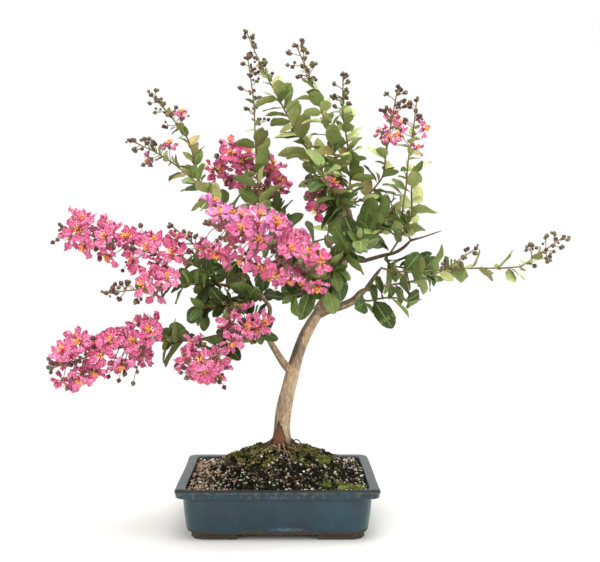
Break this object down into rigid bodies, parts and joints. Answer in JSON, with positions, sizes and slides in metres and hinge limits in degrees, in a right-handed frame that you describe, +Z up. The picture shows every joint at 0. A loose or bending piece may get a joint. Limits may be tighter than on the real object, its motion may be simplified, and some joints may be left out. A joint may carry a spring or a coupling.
{
  "type": "potted bonsai tree",
  "caption": "Flowering crepe myrtle bonsai with a forked leaning trunk, leafy shoots and pink panicles, in a shallow rectangular glazed pot.",
  "frame": {"origin": "middle of the bounding box at the height of the surface that the pot's feet stand on", "axes": "+X to the right along the pot's long side, +Y to the back, +Z up"},
  "size_m": [0.6686, 0.3366, 0.652],
  "materials": {
    "glaze": "gloss",
    "soil": "matte",
    "screen": "matte",
    "bark": "matte",
    "leaf": "satin",
    "petal": "matte",
    "bud": "satin"
  },
  "bodies": {
    "root": {"drain_screen_left": "screen", "drain_screen_right": "screen", "head_back_bloom": "petal", "head_centre": "petal", "head_centre_right": "petal", "head_far_left": "petal", "head_far_right": "bud", "head_heart_bloom": "petal", "head_left_spire": "bud", "head_left_up": "bud", "head_low_centre": "petal", "head_low_front": "petal", "head_low_left": "petal", "head_mid_left": "petal", "head_right_buds": "bud", "head_right_spire": "petal", "head_right_top": "petal", "head_side_left": "petal", "head_top": "bud", "head_top_middle": "bud", "head_top_side": "bud", "head_upper_left": "petal", "pot": "glaze", "shoot_back_bloom": "leaf", "shoot_back_crown": "leaf", "shoot_back_low": "leaf", "shoot_back_right": "leaf", "shoot_back_upper": "leaf", "shoot_centre": "leaf", "shoot_centre_right": "leaf", "shoot_crown_middle": "leaf", "shoot_far_left": "leaf", "shoot_far_right": "leaf", "shoot_front_crown": "leaf", "shoot_front_left": "leaf", "shoot_front_upper": "leaf", "shoot_heart_bloom": "leaf", "shoot_inner_left": "leaf", "shoot_left_fan": "leaf", "shoot_left_low": "leaf", "shoot_left_spire": "leaf", "shoot_left_up": "leaf", "shoot_low_centre": "leaf", "shoot_low_front": "leaf", "shoot_low_left": "leaf", "shoot_mid_left": "leaf", "shoot_right_buds": "leaf", "shoot_right_green": "leaf", "shoot_right_inner": "leaf", "shoot_right_low": "leaf", "shoot_right_middle": "leaf", "shoot_right_spire": "leaf", "shoot_right_top": "leaf", "shoot_side_left": "leaf", "shoot_top": "leaf", "shoot_top_middle": "leaf", "shoot_top_side": "leaf", "shoot_upper_left": "leaf", "soil": "soil", "trunk": "bark"}
  },
  "joints": []
}
